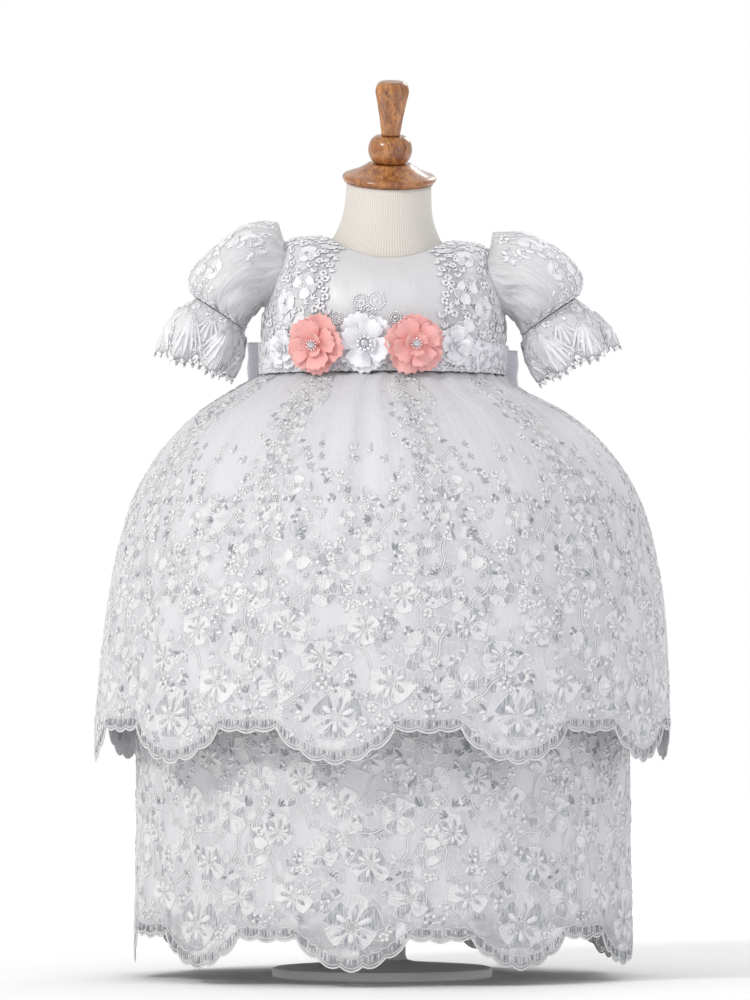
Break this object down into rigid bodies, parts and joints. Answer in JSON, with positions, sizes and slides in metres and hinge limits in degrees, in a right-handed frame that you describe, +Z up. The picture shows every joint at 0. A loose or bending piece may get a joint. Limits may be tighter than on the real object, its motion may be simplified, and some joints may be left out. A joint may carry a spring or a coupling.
{
  "type": "christening gown on a dress form",
  "caption": "Short-sleeved white lace christening gown with two scalloped skirt tiers and a flowered sash, worn by a limbless dress form with a turned wooden neck cap on its own stand.",
  "frame": {"origin": "on the floor, under the middle of the whole part's bounding box", "axes": "+Z up, -Y towards the front of the gown, +X towards its wearer's left"},
  "size_m": [0.4695, 0.4209, 0.7335],
  "materials": {
    "satin_white": "soft satin",
    "lace_white": "corded lace with silvery satin stitches",
    "organza_white": "sheer organza",
    "ribbon_white": "satin ribbon",
    "lining_white": "matt lining",
    "petal_white": "chiffon petals",
    "petal_pink": "chiffon petals",
    "rhinestone": "faceted stones in silver settings",
    "jersey_cream": "ribbed knit jersey",
    "turned_wood": "varnished",
    "stand_white": "satin"
  },
  "bodies": {
    "root": {"bodice_front": "satin_white", "bodice_lace_left": "lace_white", "bodice_lace_right": "lace_white", "bodice_back_left": "lace_white", "bodice_back_right": "lace_white", "sleeve_left": "organza_white", "sleeve_right": "organza_white", "sleeve_frill_left": "lace_white", "sleeve_frill_right": "lace_white", "sash": "ribbon_white", "bow_knot": "ribbon_white", "bow_loop_left": "ribbon_white", "bow_loop_right": "ribbon_white", "bow_tail_left": "ribbon_white", "bow_tail_right": "ribbon_white", "flower_white_far_left": "petal_white", "flower_pink_left": "petal_pink", "flower_white_middle": "petal_white", "flower_pink_right": "petal_pink", "flower_white_far_right": "petal_white", "stone_white_far_left": "rhinestone", "stone_pink_left": "rhinestone", "stone_white_middle": "rhinestone", "stone_pink_right": "rhinestone", "stone_white_far_right": "rhinestone", "upper_tier_front": "lace_white", "upper_tier_back": "lace_white", "lower_tier_front": "lace_white", "lower_tier_back": "lace_white", "skirt_lining_front": "lining_white", "skirt_lining_back": "lining_white", "dress_form": "jersey_cream", "neck_cap_disc": "turned_wood", "neck_cap_ball": "turned_wood", "neck_cap_finial": "turned_wood", "stand_pole": "stand_white", "stand_base": "stand_white"}
  },
  "joints": []
}
